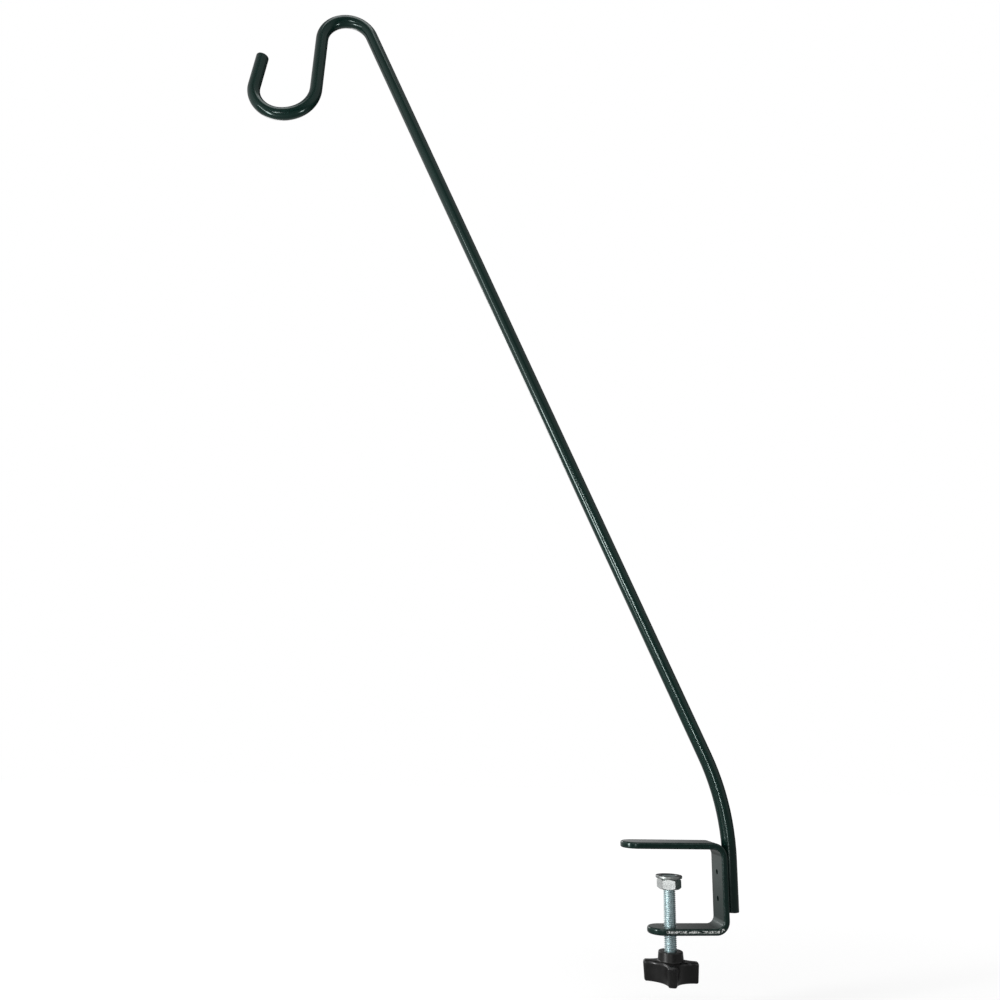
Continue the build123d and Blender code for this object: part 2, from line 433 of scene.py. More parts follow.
def blend_colours(tree, factor, first, second):
    """Colour between two colours or colour sockets."""
    node = tree.nodes.new("ShaderNodeMix")
    node.data_type = "RGBA"
    tree.links.new(factor, node.inputs["Factor"])
    # The node's colour sockets follow those for numbers and vectors, which have the same names
    for socket, colour in ((node.inputs[6], first), (node.inputs[7], second)):
        if isinstance(colour, tuple):
            socket.default_value = (*colour, 1)
        else:
            tree.links.new(colour, socket)
    return node.outputs[2]


def calculate(tree, operation, first, second):
    """Result of one operation on two values or value sockets."""
    node = tree.nodes.new("ShaderNodeMath")
    node.operation = operation
    for socket, value in zip(node.inputs, (first, second)):
        if isinstance(value, (int, float)):
            socket.default_value = value
        else:
            tree.links.new(value, socket)
    return node.outputs[0]


def times(tree, first, second):
    """Product of two values or value sockets."""
    return calculate(tree, "MULTIPLY", first, second)


def larger(tree, first, second):
    """Larger of two values or value sockets."""
    return calculate(tree, "MAXIMUM", first, second)


def along(tree, vector, direction):
    """How far a vector socket points in one direction."""
    node = tree.nodes.new("ShaderNodeVectorMath")
    node.operation = "DOT_PRODUCT"
    tree.links.new(vector, node.inputs[0])
    node.inputs[1].default_value = Vector(direction).normalized()
    return node.outputs["Value"]


def attribute(tree, name):
    """Value that the mesh carries at its vertices, or 0 if it has none of that name."""
    node = tree.nodes.new("ShaderNodeAttribute")
    node.attribute_name = name
    return node.outputs["Fac"]


def bump(tree, shader, *layers):
    """Stack bump layers of (height socket, (height in metres, strength)) on the shader's normal."""
    below = None
    for height, (distance, strength) in layers:
        node = tree.nodes.new("ShaderNodeBump")
        node.inputs["Distance"].default_value = distance
        node.inputs["Strength"].default_value = strength
        tree.links.new(height, node.inputs["Height"])
        if below:
            tree.links.new(below, node.inputs["Normal"])
        below = node.outputs["Normal"]
    tree.links.new(below, shader.inputs["Normal"])


def make_powder_coat():
    """Glossy green-black powder coat: orange peel, uneven gloss, rubbed edges, and a scratched line of
    unpainted steel that is also a painted highlight.
    """
    material, tree, shader = principled("green_black_powder_coat")
    patches = noise(tree, *coat_patches)
    peel = noise(tree, *coat_peel)
    grain = noise(tree, *coat_grain)
    coat = blend_colours(tree, mask(tree, patches, tint_span), *coat_tints)
    worn = times(tree, attribute(tree, "edge"), mask(tree, noise(tree, *coat_wear), coat_wear_span))
    rubbed = blend_colours(tree, worn, coat, coat_rubbed)
    # Unpainted steel on the scratched line, light enough to stand in for the edge's glint: a painted
    # highlight
    bare_and_glint = times(tree, attribute(tree, "scrape_glint"), mask(tree, noise(tree, *coat_scrape_glint_noise), coat_scrape_glint_span))
    tree.links.new(blend_colours(tree, bare_and_glint, rubbed, coat_bare_steel_glint), shader.inputs["Base Color"])
    tree.links.new(remap(tree, patches, gloss_span, coat_roughness), shader.inputs["Roughness"])
    shader.inputs["Specular IOR Level"].default_value = coat_specular
    shader.inputs["Specular Tint"].default_value = (*coat_sheen, 1)
    bump(tree, shader, (peel, coat_peel_bump), (grain, coat_grain_bump))
    return material


def make_shaded_weld_coat():
    """The coat where it lies thin, rough and dull over the weld metal at the bottom of a hole, with its
    tints painted dark as the shade in the hole.
    """
    material, tree, shader = principled("dull_coat_painted_shade_on_weld")
    scale = noise(tree, *weld_scale)
    tree.links.new(blend_colours(tree, scale, *weld_shade_tints), shader.inputs["Base Color"])
    tree.links.new(remap(tree, scale, gloss_span, weld_roughness), shader.inputs["Roughness"])
    shader.inputs["Specular IOR Level"].default_value = weld_specular
    bump(tree, shader, (scale, weld_scale_bump))
    return material


def make_zinc(name):
    """Zinc plate: cloudy patches between two tints, with specks, and darkened to the painted-shade tint
    where the mesh says so.
    """
    dull, bright, roughness, shade_tint = zinc_plates[name]
    material, tree, shader = principled(name)
    clouds = noise(tree, *zinc_clouds)
    specks = mask(tree, noise(tree, *zinc_specks), zinc_specks_span)
    plate = blend_colours(tree, mask(tree, clouds, tint_span), dull, bright)
    specked = blend_colours(tree, specks, plate, zinc_speck_colour)
    # Painted shade: the tint darkens thread roots and the washer's top face where the mesh marks them
    colour = blend_colours(tree, attribute(tree, "painted_shade"), specked, shade_tint)
    tree.links.new(colour, shader.inputs["Base Color"])
    tree.links.new(remap(tree, clouds, gloss_span, roughness), shader.inputs["Roughness"])
    shader.inputs["Metallic"].default_value = 1
    bump(tree, shader, (clouds, zinc_clouds_bump), (specks, zinc_specks_bump))
    return material


def make_plastic():
    """Black moulded plastic, satin, with a fine spark-eroded grain and rubbed edges."""
    material, tree, shader = principled("black_moulded_plastic")
    flow = noise(tree, *plastic_flow)
    grain = noise(tree, *plastic_grain)
    black = blend_colours(tree, mask(tree, flow, tint_span), *plastic_tints)
    worn = times(tree, attribute(tree, "edge"), mask(tree, noise(tree, *plastic_wear), plastic_wear_span))
    tree.links.new(blend_colours(tree, worn, black, plastic_rubbed), shader.inputs["Base Color"])
    tree.links.new(remap(tree, flow, gloss_span, plastic_roughness), shader.inputs["Roughness"])
    shader.inputs["Specular IOR Level"].default_value = plastic_specular
    bump(tree, shader, (flow, plastic_flow_bump), (grain, plastic_grain_bump))
    return material


def heading_vector(degrees):
    """Unit vector in XZ, turned from X towards Z."""
    return Vector((cos(radians(degrees)), 0, sin(radians(degrees))))


def rod_line():
    """Points of the rod's centre line in XZ with their headings, close together on the bends only."""
    bends = (
        (foot_length, lean_bend_radius, lean_angle),
        (run_length, crook_radius, 180 - lean_angle - neck_lean),
        (neck_length, heel_radius, neck_lean + saddle_slope - 90),
        (0, toe_radius, -90 - saddle_slope - tip_lean),
        (tip_length, None, 0),
    )
    place = Vector((rod_axis_x, 0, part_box("hook_rod")[0].z))
    heading = 90.0
    line = [(place, heading)]
    for length, bend_radius, turn in bends:
        if length:
            place = place + length * heading_vector(heading)
            line.append((place, heading))
        if turn:
            inward = heading + (90 if turn > 0 else -90)
            centre = place + bend_radius * heading_vector(inward)
            steps = ceil(abs(turn) / degrees_per_ring)
            for step in range(1, steps + 1):
                turned = turn * step / steps
                place = centre - bend_radius * heading_vector(inward + turned)
                line.append((place, heading + turned))
            heading += turn
    return line


def make_rod(coat):
    """The bent round bar, with rounded cut ends."""
    bm = bmesh.new()
    edge = bm.verts.layers.float.new("edge")

    def rod_ring(place, heading, radius, wear):
        """Circle of vertices across the rod."""
        normal = heading_vector(heading + 90)
        vertices = []
        for i in range(rod_sides):
            angle = 2 * pi * i / rod_sides
            outward = cos(angle) * normal + sin(angle) * Vector((0, 1, 0))
            vertices.append(bm.verts.new(place + radius * outward))
            vertices[-1][edge] = wear
        return vertices

    line = rod_line()
    arc = quarter_arc((rod_radius - rod_end_rounding, 0), rod_end_rounding, 0, rod_end_steps)
    wear = wear_along(rod_end_steps)
    ends = []
    for (place, heading), outward, order in ((line[0], -1, -1), (line[-1], 1, 1)):
        ahead = heading_vector(heading) * outward
        corner = place - ahead * rod_end_rounding
        loops = []
        for (radius, rise), worn in zip(arc, wear):
            loops.append(rod_ring(corner + ahead * rise, heading, radius, worn))
        loops.append(rod_ring(place, heading, rod_radius * rod_end_inner_share, 0.0))
        ends.append(loops[::order])
    middle = [rod_ring(place, heading, rod_radius, 0.0) for place, heading in line[1:-1]]
    rings = ends[0] + middle + ends[1]
    bridge(bm, rings)
    cap(bm, rings[0], line[0][0])
    cap(bm, rings[-1], line[-1][0])
    dress(link("rod", bm, sharp_angle=40), coat, "painted_steel", "hook_rod")


def bar_point(s, v, t):
    """Point at s along the bar from the upper jaw's tip, v across it and t out from its middle."""
    if s <= upper_bend_s:
        x, z = s - upper_jaw_reach, bar_half_thickness + t
    elif s <= wall_s:
        angle = (s - upper_bend_s) / bend_middle_radius
        x = bend_x + (bend_middle_radius + t) * sin(angle)
        z = -bar_inner_bend + (bend_middle_radius + t) * cos(angle)
    elif s <= lower_bend_s:
        x, z = screw_to_wall + bar_half_thickness + t, -bar_inner_bend - (s - wall_s)
    elif s <= lower_jaw_s:
        angle = (s - lower_bend_s) / bend_middle_radius
        x = bend_x + (bend_middle_radius + t) * cos(angle)
        z = bar_inner_bend - throat_height - (bend_middle_radius + t) * sin(angle)
    else:
        x, z = bend_x - (s - lower_jaw_s), -throat_height - bar_half_thickness - t
    return x, v, z


def bar_holes():
    """Each hole's place along the bar, radius, chamfer, and the two stations that it lies between."""
    tapped_s = bar_length - lower_jaw_reach
    before = tapped_s - tapped_window_share * (tapped_hole_radius + tapped_hole_chamfer)
    after = bar_length - bar_half_width
    holes = [(tapped_s, tapped_hole_radius, tapped_hole_chamfer, before, after)]
    margin = plug_window_share * plug_radius
    for plug_z in (plug_upper_z, plug_lower_z):
        plug_s = wall_s - bar_inner_bend - plug_z
        holes.append((plug_s, plug_radius, 0, plug_s - margin, plug_s + margin))
    return holes


def bar_side(holes):
    """Stations along the bar's side and round a quarter of each end, with the way the rim faces."""
    marks = {bar_half_width, upper_bend_s, wall_s, lower_bend_s, lower_jaw_s, bar_length - bar_half_width}
    for start in (upper_bend_s, lower_bend_s):
        marks.update(start + bend_run * i / bend_steps for i in range(bend_steps))
    for hole in holes:
        marks.update(hole[3:])
    quarter = [radians(90 * i / jaw_end_steps) for i in range(jaw_end_steps)]
    side = [(bar_half_width, -cos(a), sin(a)) for a in quarter]
    side += [(s, 0, 1) for s in sorted(marks)]
    side += [(bar_length - bar_half_width, cos(a), sin(a)) for a in reversed(quarter)]
    return side


def far_side(rim, count):
    """The rim's vertices on -Y, one for each of the count vertices on +Y; both ends are shared."""
    return [rim[0]] + rim[:count - 1:-1] + [rim[count - 1]]


def cover_flat(bm, rim, side, holes):
    """Faces across the bar from one side of a rim to the other, but for a window at each hole."""
    windows = [hole[3] for hole in holes]
    back = far_side(rim, len(side))
    for i in range(len(side) - 1):
        s, ds, dv = side[i]
        if dv < 1 or s not in windows:
            bm.faces.new(dict.fromkeys((rim[i], rim[i + 1], back[i + 1], back[i])))


def bore_hole(bm, bar_vertex, hole, side, rims):
    """One hole through the bar, with the faces that close its window on both flats."""
    centre, radius, chamfer, before, after = hole
    depths = [(radius + chamfer, bar_half_thickness)]
    if chamfer:
        depths.append((radius, bar_half_thickness - chamfer))
    depths += [(reach, -t) for reach, t in reversed(depths)]
    angles = [2 * pi * i / hole_sides for i in range(hole_sides)]
    loops = []
    for reach, t in depths:
        loops.append([bar_vertex(centre + reach * cos(a), reach * sin(a), t) for a in angles])
    bridge(bm, loops)
    near, far = [i for i, (s, ds, dv) in enumerate(side) if dv == 1 and s in (before, after)]
    for rim, loop in ((rims[-1], loops[0]), (rims[0], loops[-1])):
        back = far_side(rim, len(side))
        fill(bm, [[rim[near], rim[far], back[far], back[near]], loop])


def make_bracket(coat):
    """The bent flat bar with round jaw ends, rolled edges, the tapped hole and the two plug holes."""
    bm = bmesh.new()
    edge = bm.verts.layers.float.new("edge")
    scrape_glint = bm.verts.layers.float.new("scrape_glint")
    holes = bar_holes()
    side = bar_side(holes)

    def bar_vertex(s, v, t, wear=0.0):
        """Vertex of the bar, marked as unpainted steel and painted highlight if it lies on the scratched
        line.
        """
        vertex = bm.verts.new(bar_point(s, v, t))
        vertex[edge] = wear
        # The scratched line with its painted highlight, on the lower jaw's front side
        on_front = v < 0 and scrape_glint_start_s < s < scrape_glint_end_s
        on_scrape_glint = on_front and -scrape_glint_rise < t < scrape_glint_drop
        vertex[scrape_glint] = scrape_glint_strength if on_scrape_glint else 0.0
        return vertex

    def rim(inset, t, wear):
        """Closed loop of vertices round the bar at one inset and depth: there on +Y, and back on -Y."""
        reach = bar_half_width - inset
        there = [bar_vertex(s + reach * ds, reach * dv, t, wear) for s, ds, dv in side]
        back = [bar_vertex(s + reach * ds, -reach * dv, t, wear) for s, ds, dv in side[1:-1]]
        return there + back[::-1]

    corner = (-bar_edge_radius, bar_half_thickness - bar_edge_radius)
    arc = quarter_arc(corner, bar_edge_radius, 0, bar_edge_steps)
    outer = [(-out, t, worn) for (out, t), worn in zip(arc, wear_along(bar_edge_steps))]
    inner = [(inset, -t, worn) for inset, t, worn in reversed(outer)]
    rims = [rim(*level) for level in inner + [(0.0, 0.0, 0.0)] + outer]
    bridge(bm, rims)
    for flat in (rims[0], rims[-1]):
        cover_flat(bm, flat, side, holes)
    for hole in holes:
        bore_hole(bm, bar_vertex, hole, side, rims)
    dress(link("bracket", bm, sharp_angle=35), coat, "painted_steel", "clamp_bracket")


def plug_ring(bm, x, z, radius):
    """Upright circle of vertices round a plug's axis."""
    angles = [2 * pi * i / plug_sides for i in range(plug_sides)]
    return [bm.verts.new((x, radius * cos(a), z + radius * sin(a))) for a in angles]


def make_plug_welds(coat):
    """Weld metal at the bottom of the two plug holes, dished and rippled under the paint."""
    face_x = screw_to_wall + plug_recess
    for name, node, z in (
        ("plug_upper", "plug_weld_upper", plug_upper_z),
        ("plug_lower", "plug_weld_lower", plug_lower_z),
    ):
        bm = bmesh.new()
        rings = []
        for i in range(plug_rings):
            share = 1 - i / plug_rings
            ripple = plug_ripple * cos(2 * pi * share * plug_ripple_waves) * share
            x = face_x + plug_dish * (1 - share**2) - ripple
            rings.append(plug_ring(bm, x, z, plug_radius * share))
        back = plug_ring(bm, rings[0][0].co.x + plug_depth, z, plug_radius)
        bridge(bm, [back] + rings)
        cap(bm, rings[-1], (face_x + plug_centre_dish, 0, z))
        cap(bm, back, (face_x + plug_depth, 0, z))
        dress(link(name, bm, sharp_angle=50), coat, "painted_steel", node)


def bead_section(side, place, length):
    """Points round a bead at one place along it: the crown from toe to top, then back by the root."""
    wall_x = screw_to_wall + 2 * bar_half_thickness
    rod_y = (rod_radius**2 - (rod_axis_x - wall_x - bead_height) ** 2) ** 0.5
    toe = Vector((wall_x, side * bead_toe_y))
    top = Vector((wall_x + bead_height, side * rod_y))
    root = Vector((wall_x, side * bead_root_y))
    outward = Vector((top.y - toe.y, toe.x - top.x)).normalized()
    if outward.y * side < 0:
        outward.negate()
    end = min(place, length - place, bead_height) / bead_height
    swell = min(1.0, (1 - (1 - end) ** 2) ** 0.5 + bead_blunt_share)
    ripple = 0.5 + 0.5 * cos(2 * pi * place / bead_ripple_pitch)
    crown = bead_crown * (1 - bead_ripple_share * (1 - ripple))
    section = []
    for k in range(bead_crown_steps + 1):
        share = k / bead_crown_steps
        bow = 4 * share * (1 - share)
        section.append(root.lerp(toe.lerp(top, share) + outward * crown * bow, swell))
    section.append(root.lerp(Vector((top.x, root.y)), swell))
    section.append(root)
    return section


def make_side_welds(coat):
    """Weld beads beside the rod, crowned and rippled, with rounded ends."""
    for name, node, side in (("bead_front", "side_weld_front", -1), ("bead_rear", "side_weld_rear", 1)):
        low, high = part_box(node)
        length = high.z - low.z
        bm = bmesh.new()
        rings = []
        for i in range(bead_steps + 1):
            place = length * i / bead_steps
            section = bead_section(side, place, length)
            vertices = []
            for k, point in enumerate(section):
                share = k / (len(section) - 1)
                lag = 4 * bead_ripple_lag * share * (1 - share)
                z = low.z + min(place + lag, length)
                vertices.append(bm.verts.new((point.x, point.y, z)))
            rings.append(vertices)
        bridge(bm, rings)
        bm.faces.new(rings[0])
        bm.faces.new(rings[-1])
        bmesh.ops.remove_doubles(bm, verts=bm.verts, dist=merge_distance)
        dress(link(name, bm, sharp_angle=60), coat, "painted_steel", node)


def add_thread(bm, bottom, top):
    """Helical thread that runs out at both ends, its layer of painted shade 1 at the root, darkening the
    thread's hollows; gives its end rings.
    """
    painted_shade = bm.verts.layers.float.new("painted_shade")
    root = bolt_radius - thread_depth
    profile = (
        (-thread_root_share / 2, root),
        (thread_root_share / 2, root),
        ((1 - thread_crest_share) / 2, bolt_radius),
        ((1 + thread_crest_share) / 2, bolt_radius),
    )
    rows = []
    for turn in range(-spare_turns, ceil((top - bottom) / thread_pitch) + spare_turns):
        for offset, radius in profile:
            row = []
            for column in range(thread_columns):
                z = bottom + thread_pitch * (turn + offset + column / thread_columns)
                z = min(max(z, bottom), top)
                r = min(radius, root + min(z - bottom, top - z))
                angle = 2 * pi * column / thread_columns
                row.append(bm.verts.new((r * cos(angle), r * sin(angle), z)))
                row[-1][painted_shade] = 1 - (r - root) / thread_depth
            rows.append(row)
    turn_later = rows[len(profile):]
    for lower, upper, lower_next, upper_next in zip(rows, rows[1:], turn_later, turn_later[1:]):
        for i in range(thread_columns - 1):
            bm.faces.new((lower[i], lower[i + 1], upper[i + 1], upper[i]))
        bm.faces.new((lower[-1], lower_next[0], upper_next[0], upper[-1]))
    loose = [v for v in bm.verts if not v.link_faces]
    bmesh.ops.delete(bm, geom=loose, context="VERTS")
    bmesh.ops.remove_doubles(bm, verts=bm.verts, dist=thread_merge_distance)

    def end_ring(end_z):
        """Vertices at one end of the thread, in order round the axis."""
        found = []
        for vertex in bm.verts:
            x, y, z = vertex.co
            if abs(z - end_z) < merge_distance and hypot(x, y) < root + thread_slack:
                found.append(vertex)
        return sorted(found, key=lambda v: atan2(v.co.y, v.co.x) % (2 * pi))

    return end_ring(bottom), end_ring(top)


def add_hexagon(bm, bottom_z, top_z, turn, drops, bore=0.0):
    """Hexagon about the Z axis whose corners are turned off by a cone at the bottom and the top."""
    cone_radius = hex_across_flats / 2 * hex_cone_share
    corner_radius = hex_across_flats / 3**0.5

    def level(face_z, inward, drop):
        """Loops of one end: the flat face's circle, and the hexagon where the cone meets its sides."""
        inner, outer = [], []
        for i in range(hex_steps):
            angle = turn + 2 * pi * i / hex_steps
            within = (angle - turn + pi / 6) % (pi / 3) - pi / 6
            reach = hex_across_flats / 2 / cos(within)
            fall = max(0.0, (reach - cone_radius) / (corner_radius - cone_radius)) * drop
            start = cone_radius if drop else reach * hex_inset_share
            inner.append(bm.verts.new((start * cos(angle), start * sin(angle), face_z)))
            outer.append(bm.verts.new((reach * cos(angle), reach * sin(angle), face_z + inward * fall)))
        return inner, outer

    bottom_inner, bottom_outer = level(bottom_z, 1, drops[0])
    top_inner, top_outer = level(top_z, -1, drops[1])
    bridge(bm, [bottom_inner, bottom_outer, top_outer, top_inner])
    if bore:
        flare = bore + nut_bore_flare
        depths = (
            (flare, top_z),
            (bore, top_z - nut_bore_flare),
            (bore, bottom_z + nut_bore_flare),
            (flare, bottom_z),
        )
        bore_rings = [ring(bm, radius, z, hex_steps, turn) for radius, z in depths]
        bridge(bm, [top_inner] + bore_rings + [bottom_inner])
    else:
        cap(bm, bottom_inner, (0, 0, bottom_z))
        cap(bm, top_inner, (0, 0, top_z))


def make_bolt(zinc):
    """The bolt: helical thread, peened end over the washer, hexagon head down in the knob."""
    low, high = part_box("clamp_bolt")
    head_top = low.z + bolt_head_height
    thread_bottom = head_top + thread_bottom_gap
    shank_end = head_top - shank_sink
    bm = bmesh.new()
    bottom, top = add_thread(bm, thread_bottom, high.z - thread_top_gap)
    peen = [(bolt_radius + peen_flare * out, high.z - peen_depth * down) for out, down in peen_rim_shares]
    peen += [(bolt_radius * out, high.z - peen_depth * down) for out, down in peen_dish_shares]
    peen_rings = [top] + [ring(bm, radius, z, len(top)) for radius, z in peen]
    bridge(bm, peen_rings)
    cap(bm, peen_rings[-1], (0, 0, high.z - peen_centre_depth))
    shank = [bottom]
    for z in (thread_bottom - thread_runout, shank_end):
        shank.append(ring(bm, bolt_radius, z, len(bottom)))
    bridge(bm, shank)
    cap(bm, shank[-1], (0, 0, shank_end))
    add_hexagon(bm, low.z, head_top, knob_turn, (hex_corner_drop, 0))
    dress(link("bolt", bm, sharp_angle=28), zinc, "zinc_plate", "clamp_bolt")


def make_nut(zinc):
    """The pressure nut, chamfered at both faces."""
    low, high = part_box("pressure_nut")
    bm = bmesh.new()
    add_hexagon(bm, low.z, high.z, nut_turn, (hex_corner_drop, hex_corner_drop), nut_bore_radius)
    dress(link("nut", bm, sharp_angle=28), zinc, "zinc_plate", "pressure_nut")


def make_washer(zinc):
    """The stamped swivel washer: rolled outer edges, a countersunk hole and a top face painted dark as
    shade.
    """
    low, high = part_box("swivel_washer")
    core = high.x - washer_rounding
    lower = quarter_arc((core, low.z + washer_rounding), washer_rounding, -90, washer_steps)
    upper = quarter_arc((core, high.z - washer_rounding), washer_rounding, 0, washer_steps)
    hole = [
        (washer_hole_radius + washer_countersink, high.z),
        (washer_hole_radius, high.z - washer_countersink),
        (washer_hole_radius, low.z),
    ]
    bm = bmesh.new()
    painted_shade = bm.verts.layers.float.new("painted_shade")
    rings = [ring(bm, radius, z, washer_sides) for radius, z in lower + upper + hole]
    bridge(bm, rings + rings[:1])
    for vertex in bm.verts:
        # Painted shade on the washer's top face
        vertex[painted_shade] = 1.0 if vertex.co.z > high.z - washer_face_depth else 0.0
    dress(link("washer", bm, sharp_angle=28), zinc, "zinc_plate", "swivel_washer")


def star_outline():
    """Points of the knob's outline with the way each one faces, the same for every inset."""
    tip_half = lobe_tip_width / 2
    tip_reach = (knob_radius**2 - tip_half**2) ** 0.5
    tip_on_line = tip_reach * cos(pi / lobe_count) + tip_half * sin(pi / lobe_count)
    valley_centre = (knob_radius**2 - valley_radius**2) / (2 * (tip_on_line - valley_radius))
    hollow = valley_centre - valley_radius
    # Centre of the corner's arc: inside the tip's circle and outside the valley's circle
    from_axis = knob_radius - lobe_corner_radius
    from_valley = hollow + lobe_corner_radius
    corner_x = (from_axis**2 - from_valley**2 + valley_centre**2) / (2 * valley_centre)
    corner = Vector((corner_x, (from_axis**2 - corner_x**2) ** 0.5))
    valley = Vector((valley_centre, 0))
    valley_end = atan2(corner.y, corner.x - valley.x)
    corner_start = atan2(-corner.y, valley.x - corner.x)
    tip_start = atan2(corner.y, corner.x)
    # Half a valley, the corner and half a tip: centre, radius, way it faces, both angles and steps
    arcs = (
        (valley, hollow, -1, pi, valley_end, valley_steps),
        (corner, lobe_corner_radius, 1, corner_start, tip_start, corner_steps),
        (Vector((0, 0)), knob_radius, 1, tip_start, pi / lobe_count, tip_steps),
    )
    outline = []
    for centre, radius, way, first, last, steps in arcs:
        for i in range(1 if outline else 0, steps + 1):
            angle = first + (last - first) * i / steps
            outward = Vector((cos(angle), sin(angle)))
            outline.append((centre + radius * outward, way * outward))
    mirrored = [(Vector((p.x, -p.y)), Vector((n.x, -n.y))) for p, n in outline[1:-1]]
    lobe = mirrored[::-1] + outline
    points = []
    for turn in range(lobe_count):
        swing = Matrix.Rotation(knob_turn + pi / lobe_count + 2 * pi * turn / lobe_count, 2)
        points += [(swing @ p, swing @ n) for p, n in lobe]
    return points


def knob_lobes(bm, edge, outline, bottom_z, lobe_z):
    """Loops of the star up its drafted side, from the rounded bottom rim to the rounded top rim."""
    bottom_corner = (-lobe_bottom_rounding, bottom_z + lobe_bottom_rounding)
    top_corner = (-lobe_top_rounding, lobe_z - lobe_top_rounding)
    levels = quarter_arc(bottom_corner, lobe_bottom_rounding, -90, lobe_rim_steps)
    levels += quarter_arc(top_corner, lobe_top_rounding, 0, lobe_rim_steps)
    rim_wear = wear_along(lobe_rim_steps)
    slope = tan(radians(lobe_draft))
    loops = []
    for (out, z), wear in zip(levels, rim_wear + rim_wear):
        inset = slope * (lobe_z - z) - out
        loop = []
        for point, facing in outline:
            place = point - inset * facing
            loop.append(bm.verts.new((place.x, place.y, z)))
            loop[-1][edge] = wear
        loops.append(loop)
    bridge(bm, loops)
    return loops


def knob_hub(bm, edge, outline, top_rim, lobe_z, hub_z, pocket_z):
    """Flat top in to the hub's root, up the hub, over its edge and down the bore to its end ring."""
    angles = [atan2(point.y, point.x) for point, facing in outline]

    def hub_loop(radius, z, wear=0.0):
        """Circle whose vertices stand at the outline's angles."""
        loop = []
        for angle in angles:
            loop.append(bm.verts.new((radius * cos(angle), radius * sin(angle), z)))
            loop[-1][edge] = wear
        return loop

    root_centre = (hub_base_radius + hub_root_rounding, lobe_z + hub_root_rounding)
    rim_centre = (hub_top_radius - hub_rounding, hub_z - hub_rounding)
    root = hub_loop(root_centre[0], lobe_z)
    flat = []
    for share in lobe_top_shares:
        flat.append([bm.verts.new(a.co.lerp(b.co, share)) for a, b in zip(top_rim, root)])
    root_arc = quarter_arc(root_centre, hub_root_rounding, 180, hub_root_steps)
    rim_arc = quarter_arc(rim_centre, hub_rounding, 0, hub_rim_steps)
    hub = [hub_loop(radius, z) for radius, z in root_arc[-2::-1]]
    hub += [hub_loop(radius, z, wear) for (radius, z), wear in zip(rim_arc, wear_along(hub_rim_steps))]
    hub.append(hub_loop(knob_bore_radius + knob_bore_chamfer, hub_z))
    hub.append(hub_loop(knob_bore_radius, hub_z - knob_bore_chamfer))
    hub.append(hub_loop(knob_bore_radius, pocket_z))
    bridge(bm, [top_rim] + flat + [root] + hub)
    return hub[-1]


def core_outline():
    """Points round a core slot with round ends, along X."""
    half = core_width / 2
    points = []
    for centre, start in ((core_outer_reach - half, -90), (core_inner_reach + half, 90)):
        for i in range(core_end_steps + 1):
            angle = radians(start + 180 * i / core_end_steps)
            points.append(Vector((centre + half * cos(angle), half * sin(angle))))
    return points


def knob_underside(bm, bottom_rim, bore_end, bottom_z, pocket_z):
    """Hexagon pocket for the bolt's head and a core slot in each lobe."""
    corner_radius = pocket_across_flats / 3**0.5
    pocket = [ring(bm, corner_radius, z, 6, knob_turn + pi / 6) for z in (bottom_z, pocket_z)]
    bridge(bm, pocket)
    fill(bm, [pocket[1], bore_end])
    mouths = []
    for turn in range(lobe_count):
        swing = Matrix.Rotation(knob_turn + 2 * pi * turn / lobe_count, 2)
        core = [swing @ point for point in core_outline()]
        loops = []
        for z in (bottom_z, bottom_z + core_depth):
            loops.append([bm.verts.new((x, y, z)) for x, y in core])
        bridge(bm, loops)
        bm.faces.new(loops[1])
        mouths.append(loops[0])
    fill(bm, [bottom_rim, pocket[0]] + mouths)


def make_knob(plastic):
    """The moulded knob: drafted lobes with rounded rims, a hub, and the hollowed underside."""
    low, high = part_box("star_knob")
    lobe_z = low.z + lobe_height
    pocket_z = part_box("clamp_bolt")[0].z + bolt_head_height
    bm = bmesh.new()
    edge = bm.verts.layers.float.new("edge")
    outline = star_outline()
    lobes = knob_lobes(bm, edge, outline, low.z, lobe_z)
    bore_end = knob_hub(bm, edge, outline, lobes[-1], lobe_z, high.z, pocket_z)
    knob_underside(bm, lobes[0], bore_end, low.z, pocket_z)
    dress(link("knob", bm, sharp_angle=38), plastic, "knob_plastic", "star_knob")


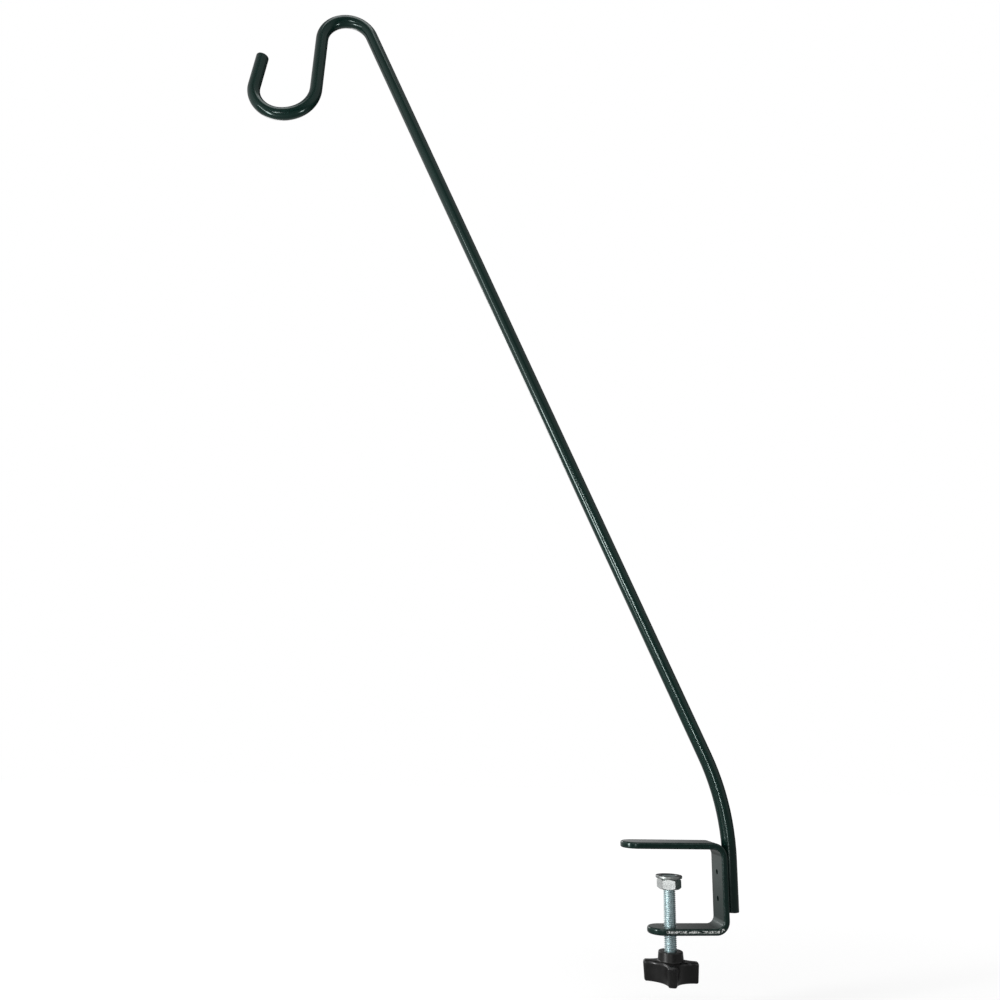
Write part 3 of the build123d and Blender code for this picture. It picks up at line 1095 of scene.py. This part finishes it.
def make_floor():
    """Plain pale floor, which shows white to the camera and grey to mirrors far behind the object."""
    floor_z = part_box("star_knob")[0].z - knob_travel_down - floor_gap
    mesh = bpy.data.meshes.new("floor")
    corners = []
    for x, y in ((-1, -1), (1, -1), (1, 1), (-1, 1)):
        corners.append((x * floor_half_size, y * floor_half_size, floor_z))
    mesh.from_pydata(corners, [], [(0, 1, 2, 3)])
    floor = bpy.data.objects.new("floor", mesh)
    scene.collection.objects.link(floor)
    material, tree, shader = principled("pale_floor")
    shader.inputs["Base Color"].default_value = (floor_albedo, floor_albedo, floor_albedo, 1)
    shader.inputs["Roughness"].default_value = floor_roughness
    shader.inputs["Specular IOR Level"].default_value = 0.0
    shader.inputs["Emission Color"].default_value = (1, 1, 1, 1)
    paths = tree.nodes.new("ShaderNodeLightPath").outputs
    place = tree.nodes.new("ShaderNodeTexCoord").outputs["Object"]
    away = tree.nodes.new("ShaderNodeVectorMath")
    away.operation = "LENGTH"
    tree.links.new(place, away.inputs[0])
    glow = remap(tree, away.outputs["Value"], floor_glow_reach, floor_glow)
    seen = times(tree, paths["Is Camera Ray"], glow)
    beyond = along(tree, place, floor_mirrored_heading)
    behind = remap(tree, beyond, floor_mirrored_reach, floor_mirrored_glow)
    by_mirrors = larger(tree, paths["Is Glossy Ray"], paths["Is Transmission Ray"])
    strength = larger(tree, seen, times(tree, by_mirrors, behind))
    tree.links.new(strength, shader.inputs["Emission Strength"])
    floor.data.materials.append(material)
    floor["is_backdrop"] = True


def make_surround():
    """White surround for the camera, a room of bright sides for mirrors, and plain ambient light."""
    world = bpy.data.worlds.new("surround")
    world.use_nodes = True
    scene.world = world
    tree = world.node_tree
    background = tree.nodes["Background"]
    background.inputs["Color"].default_value = (1, 1, 1, 1)
    paths = tree.nodes.new("ShaderNodeLightPath").outputs
    direction = tree.nodes.new("ShaderNodeTexCoord").outputs["Generated"]
    room = 0.0
    for heading, span, levels in mirrored_room:
        room = larger(tree, room, remap(tree, along(tree, direction, heading), span, levels))
    reflected = times(tree, paths["Is Glossy Ray"], room)
    direct = larger(tree, paths["Is Camera Ray"], paths["Is Transmission Ray"])
    ambient = times(tree, paths["Is Diffuse Ray"], ambient_level)
    strength = larger(tree, larger(tree, direct, reflected), ambient)
    tree.links.new(strength, background.inputs["Strength"])


def add_lamp(name, place, size, power, turn, beam):
    """Area lamp that the camera doesn't see, with place and size in mm and its beam in degrees."""
    data = bpy.data.lights.new(name, "AREA")
    data.shape = "RECTANGLE"
    data.size = size[0] * mm
    data.size_y = size[1] * mm
    data.energy = power
    data.spread = radians(beam)
    lamp = bpy.data.objects.new(name, data)
    lamp.location = place * mm
    lamp.rotation_mode = "QUATERNION"
    lamp.rotation_quaternion = turn
    lamp.visible_camera = False
    scene.collection.objects.link(lamp)


def make_light():
    """Soft boxes round the object, and slanting strips in front that follow the rod."""
    for name, place, target, size, power, beam in lamps:
        turn = (Vector(target) - Vector(place)).to_track_quat("-Z", "Y")
        add_lamp(name, Vector(place), size, power, turn, beam)
    for name, first, last, heading, power, beam in strips:
        middle = (Vector(first) + Vector(last)) / 2
        away = -Vector(heading).normalized()
        length = Vector(last) - Vector(first)
        length -= length.project(away)
        run = length.normalized()
        turn = Matrix((run, away.cross(run), away)).transposed().to_quaternion()
        add_lamp(name, middle, (length.length, strip_width), power, turn, beam)


def make_camera():
    """Camera at the photograph's place, looking slightly up."""
    level = Vector((cos(camera_yaw), -sin(camera_yaw), 0))
    flat = cos(camera_pitch)
    forward = Vector((sin(camera_yaw) * flat, cos(camera_yaw) * flat, sin(camera_pitch)))
    upright = level.cross(forward)
    right = level * cos(camera_roll) + upright * sin(camera_roll)
    up = upright * cos(camera_roll) - level * sin(camera_roll)
    data = bpy.data.cameras.new("camera")
    data.sensor_width = sensor_width
    data.lens = sensor_width * focal_length_px / image_width_px
    camera = bpy.data.objects.new("camera", data)
    turn = Matrix((right, up, -forward)).transposed()
    camera.matrix_world = Matrix.Translation(camera_place) @ turn.to_4x4()
    scene.collection.objects.link(camera)
    scene.camera = camera


powder_coat = make_powder_coat()
make_rod(powder_coat)
make_bracket(powder_coat)
make_plug_welds(make_shaded_weld_coat())
make_side_welds(powder_coat)
make_bolt(make_zinc("blue_zinc_plate"))
make_nut(make_zinc("clear_zinc_plate"))
make_washer(make_zinc("dull_zinc_plate_shaded"))
make_knob(make_plastic())
make_floor()
make_surround()
make_light()
make_camera()
scene.view_settings.view_transform = "Standard"

boxes = [[list(corner) for corner in box] for box in (cad_box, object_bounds())]
